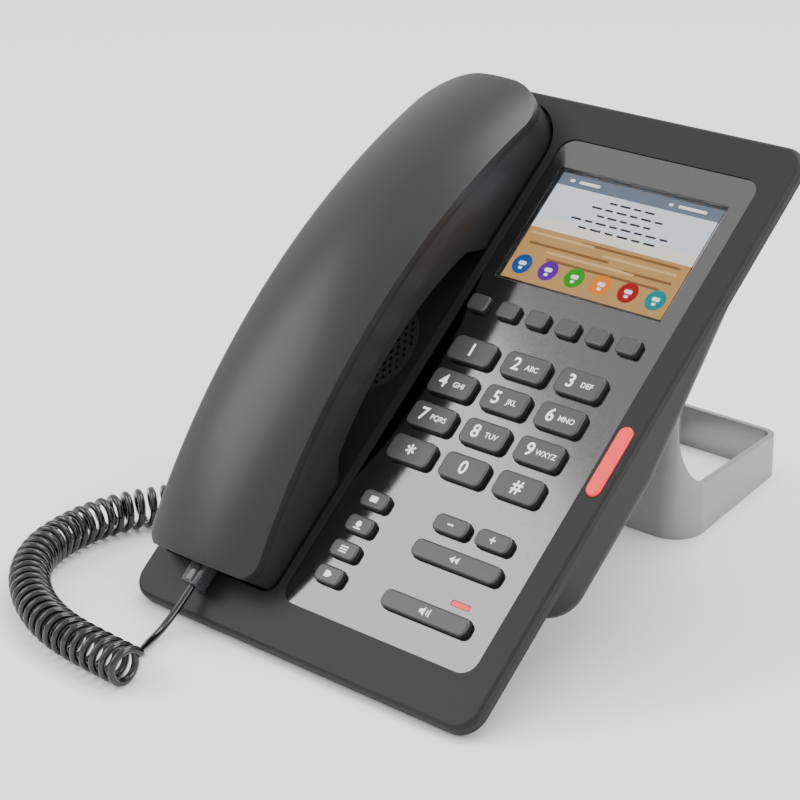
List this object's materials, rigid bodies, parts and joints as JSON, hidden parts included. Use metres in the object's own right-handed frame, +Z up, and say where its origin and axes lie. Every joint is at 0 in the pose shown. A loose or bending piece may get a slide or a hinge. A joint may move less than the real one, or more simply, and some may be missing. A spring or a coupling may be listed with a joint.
{
  "type": "desk ip phone",
  "caption": "Desk telephone with a lift-off handset on a curly cord, colour display, sprung keys, message lamp and loop stand.",
  "frame": {"origin": "on the desk, under the middle of the phone's width and of its depth from the face's lower edge to the rear of the stand", "axes": "+Z up from the desk, +Y to the back, +X to the right as the user sees it"},
  "size_m": [0.2148, 0.3031, 0.1653],
  "materials": {
    "charcoal_plastic": "fine spark-eroded texture, low sheen",
    "silver_plastic": "silver paint on plastic, satin",
    "grey_panel": "satin grey paint with a fine grain",
    "clear_lens": "polished clear window",
    "display_picture": "lit colour display",
    "silicone": "matt silicone",
    "circuit_board": "solder resist",
    "red_lamp": "translucent red light pipe",
    "speaker_frame": "black enamel",
    "black_plastic": "plain black moulding",
    "steel": "zinc plated",
    "pad_rubber": "matt rubber",
    "satin_handset": "satin, slightly polished",
    "clear_plug": "clear moulded plastic",
    "cord_black": "glossy flexible sheath",
    "key_plastic": "satin grey keys with printed legends"
  },
  "bodies": {
    "base": {"front_housing": "charcoal_plastic", "rear_housing": "charcoal_plastic", "key_panel": "grey_panel", "display_lens": "clear_lens", "display_module": "display_picture", "keypad_mat": "silicone", "keypad_board": "circuit_board", "main_board": "circuit_board", "message_lamp": "red_lamp", "mute_indicator": "red_lamp", "speaker_grille": "charcoal_plastic", "speaker": "speaker_frame", "hook_switch": "black_plastic", "network_ports": "black_plastic", "power_jack": "black_plastic", "base_jack": "black_plastic", "base_plug": "clear_plug", "housing_screws": "steel", "stand": "silver_plastic", "stand_screws": "steel", "rubber_pads": "pad_rubber", "cord_coil": "cord_black", "cord_base_lead": "cord_black", "cord_handset_lead": "cord_black"},
    "handset": {"handset_upper_shell": "satin_handset", "handset_lower_shell": "satin_handset", "handset_screws": "steel", "receiver": "speaker_frame", "handset_microphone": "speaker_frame", "handset_weight": "steel", "handset_jack": "black_plastic", "handset_plug": "clear_plug"},
    "hook_plunger": {"hook_plunger": "black_plastic"},
    "key_1": {"key_1": "key_plastic"},
    "key_2": {"key_2": "key_plastic"},
    "key_3": {"key_3": "key_plastic"},
    "key_4": {"key_4": "key_plastic"},
    "key_5": {"key_5": "key_plastic"},
    "key_6": {"key_6": "key_plastic"},
    "key_7": {"key_7": "key_plastic"},
    "key_8": {"key_8": "key_plastic"},
    "key_9": {"key_9": "key_plastic"},
    "key_star": {"key_star": "key_plastic"},
    "key_0": {"key_0": "key_plastic"},
    "key_hash": {"key_hash": "key_plastic"},
    "soft_key_1": {"soft_key_1": "key_plastic"},
    "soft_key_2": {"soft_key_2": "key_plastic"},
    "soft_key_3": {"soft_key_3": "key_plastic"},
    "soft_key_4": {"soft_key_4": "key_plastic"},
    "soft_key_5": {"soft_key_5": "key_plastic"},
    "soft_key_6": {"soft_key_6": "key_plastic"},
    "feature_key_1": {"feature_key_1": "key_plastic"},
    "feature_key_2": {"feature_key_2": "key_plastic"},
    "feature_key_3": {"feature_key_3": "key_plastic"},
    "feature_key_4": {"feature_key_4": "key_plastic"},
    "volume_down_key": {"volume_down_key": "key_plastic"},
    "volume_up_key": {"volume_up_key": "key_plastic"},
    "redial_key": {"redial_key": "key_plastic"},
    "speaker_key": {"speaker_key": "key_plastic"}
  },
  "joints": [
    {"name": "key_1_press", "type": "slide", "parent": "base", "child": "key_1", "axis": [0, -0.6561, 0.7547], "range_m": [-0.0012, 0], "stiffness_N_per_m": 300},
    {"name": "key_2_press", "type": "slide", "parent": "base", "child": "key_2", "axis": [0, -0.6561, 0.7547], "range_m": [-0.0012, 0], "stiffness_N_per_m": 300},
    {"name": "key_3_press", "type": "slide", "parent": "base", "child": "key_3", "axis": [0, -0.6561, 0.7547], "range_m": [-0.0012, 0], "stiffness_N_per_m": 300},
    {"name": "key_4_press", "type": "slide", "parent": "base", "child": "key_4", "axis": [0, -0.6561, 0.7547], "range_m": [-0.0012, 0], "stiffness_N_per_m": 300},
    {"name": "key_5_press", "type": "slide", "parent": "base", "child": "key_5", "axis": [0, -0.6561, 0.7547], "range_m": [-0.0012, 0], "stiffness_N_per_m": 300},
    {"name": "key_6_press", "type": "slide", "parent": "base", "child": "key_6", "axis": [0, -0.6561, 0.7547], "range_m": [-0.0012, 0], "stiffness_N_per_m": 300},
    {"name": "key_7_press", "type": "slide", "parent": "base", "child": "key_7", "axis": [0, -0.6561, 0.7547], "range_m": [-0.0012, 0], "stiffness_N_per_m": 300},
    {"name": "key_8_press", "type": "slide", "parent": "base", "child": "key_8", "axis": [0, -0.6561, 0.7547], "range_m": [-0.0012, 0], "stiffness_N_per_m": 300},
    {"name": "key_9_press", "type": "slide", "parent": "base", "child": "key_9", "axis": [0, -0.6561, 0.7547], "range_m": [-0.0012, 0], "stiffness_N_per_m": 300},
    {"name": "key_star_press", "type": "slide", "parent": "base", "child": "key_star", "axis": [0, -0.6561, 0.7547], "range_m": [-0.0012, 0], "stiffness_N_per_m": 300},
    {"name": "key_0_press", "type": "slide", "parent": "base", "child": "key_0", "axis": [0, -0.6561, 0.7547], "range_m": [-0.0012, 0], "stiffness_N_per_m": 300},
    {"name": "key_hash_press", "type": "slide", "parent": "base", "child": "key_hash", "axis": [0, -0.6561, 0.7547], "range_m": [-0.0012, 0], "stiffness_N_per_m": 300},
    {"name": "soft_key_1_press", "type": "slide", "parent": "base", "child": "soft_key_1", "axis": [0, -0.6561, 0.7547], "range_m": [-0.0012, 0], "stiffness_N_per_m": 300},
    {"name": "soft_key_2_press", "type": "slide", "parent": "base", "child": "soft_key_2", "axis": [0, -0.6561, 0.7547], "range_m": [-0.0012, 0], "stiffness_N_per_m": 300},
    {"name": "soft_key_3_press", "type": "slide", "parent": "base", "child": "soft_key_3", "axis": [0, -0.6561, 0.7547], "range_m": [-0.0012, 0], "stiffness_N_per_m": 300},
    {"name": "soft_key_4_press", "type": "slide", "parent": "base", "child": "soft_key_4", "axis": [0, -0.6561, 0.7547], "range_m": [-0.0012, 0], "stiffness_N_per_m": 300},
    {"name": "soft_key_5_press", "type": "slide", "parent": "base", "child": "soft_key_5", "axis": [0, -0.6561, 0.7547], "range_m": [-0.0012, 0], "stiffness_N_per_m": 300},
    {"name": "soft_key_6_press", "type": "slide", "parent": "base", "child": "soft_key_6", "axis": [0, -0.6561, 0.7547], "range_m": [-0.0012, 0], "stiffness_N_per_m": 300},
    {"name": "feature_key_1_press", "type": "slide", "parent": "base", "child": "feature_key_1", "axis": [0, -0.6561, 0.7547], "range_m": [-0.0012, 0], "stiffness_N_per_m": 300},
    {"name": "feature_key_2_press", "type": "slide", "parent": "base", "child": "feature_key_2", "axis": [0, -0.6561, 0.7547], "range_m": [-0.0012, 0], "stiffness_N_per_m": 300},
    {"name": "feature_key_3_press", "type": "slide", "parent": "base", "child": "feature_key_3", "axis": [0, -0.6561, 0.7547], "range_m": [-0.0012, 0], "stiffness_N_per_m": 300},
    {"name": "feature_key_4_press", "type": "slide", "parent": "base", "child": "feature_key_4", "axis": [0, -0.6561, 0.7547], "range_m": [-0.0012, 0], "stiffness_N_per_m": 300},
    {"name": "volume_down_key_press", "type": "slide", "parent": "base", "child": "volume_down_key", "axis": [0, -0.6561, 0.7547], "range_m": [-0.0012, 0], "stiffness_N_per_m": 300},
    {"name": "volume_up_key_press", "type": "slide", "parent": "base", "child": "volume_up_key", "axis": [0, -0.6561, 0.7547], "range_m": [-0.0012, 0], "stiffness_N_per_m": 300},
    {"name": "redial_key_press", "type": "slide", "parent": "base", "child": "redial_key", "axis": [0, -0.6561, 0.7547], "range_m": [-0.0012, 0], "stiffness_N_per_m": 300},
    {"name": "speaker_key_press", "type": "slide", "parent": "base", "child": "speaker_key", "axis": [0, -0.6561, 0.7547], "range_m": [-0.0012, 0], "stiffness_N_per_m": 300},
    {"name": "handset_lift", "type": "slide", "parent": "base", "child": "handset", "axis": [0, -0.6561, 0.7547], "range_m": [0, 0.08]},
    {"name": "hook_plunger_rise", "type": "slide", "parent": "base", "child": "hook_plunger", "axis": [0, -0.6561, 0.7547], "range_m": [0, 0.0024]}
  ],
  "couplings": [
    {"joint": "hook_plunger_rise", "follows": "handset_lift", "ratio": 0.03}
  ]
}
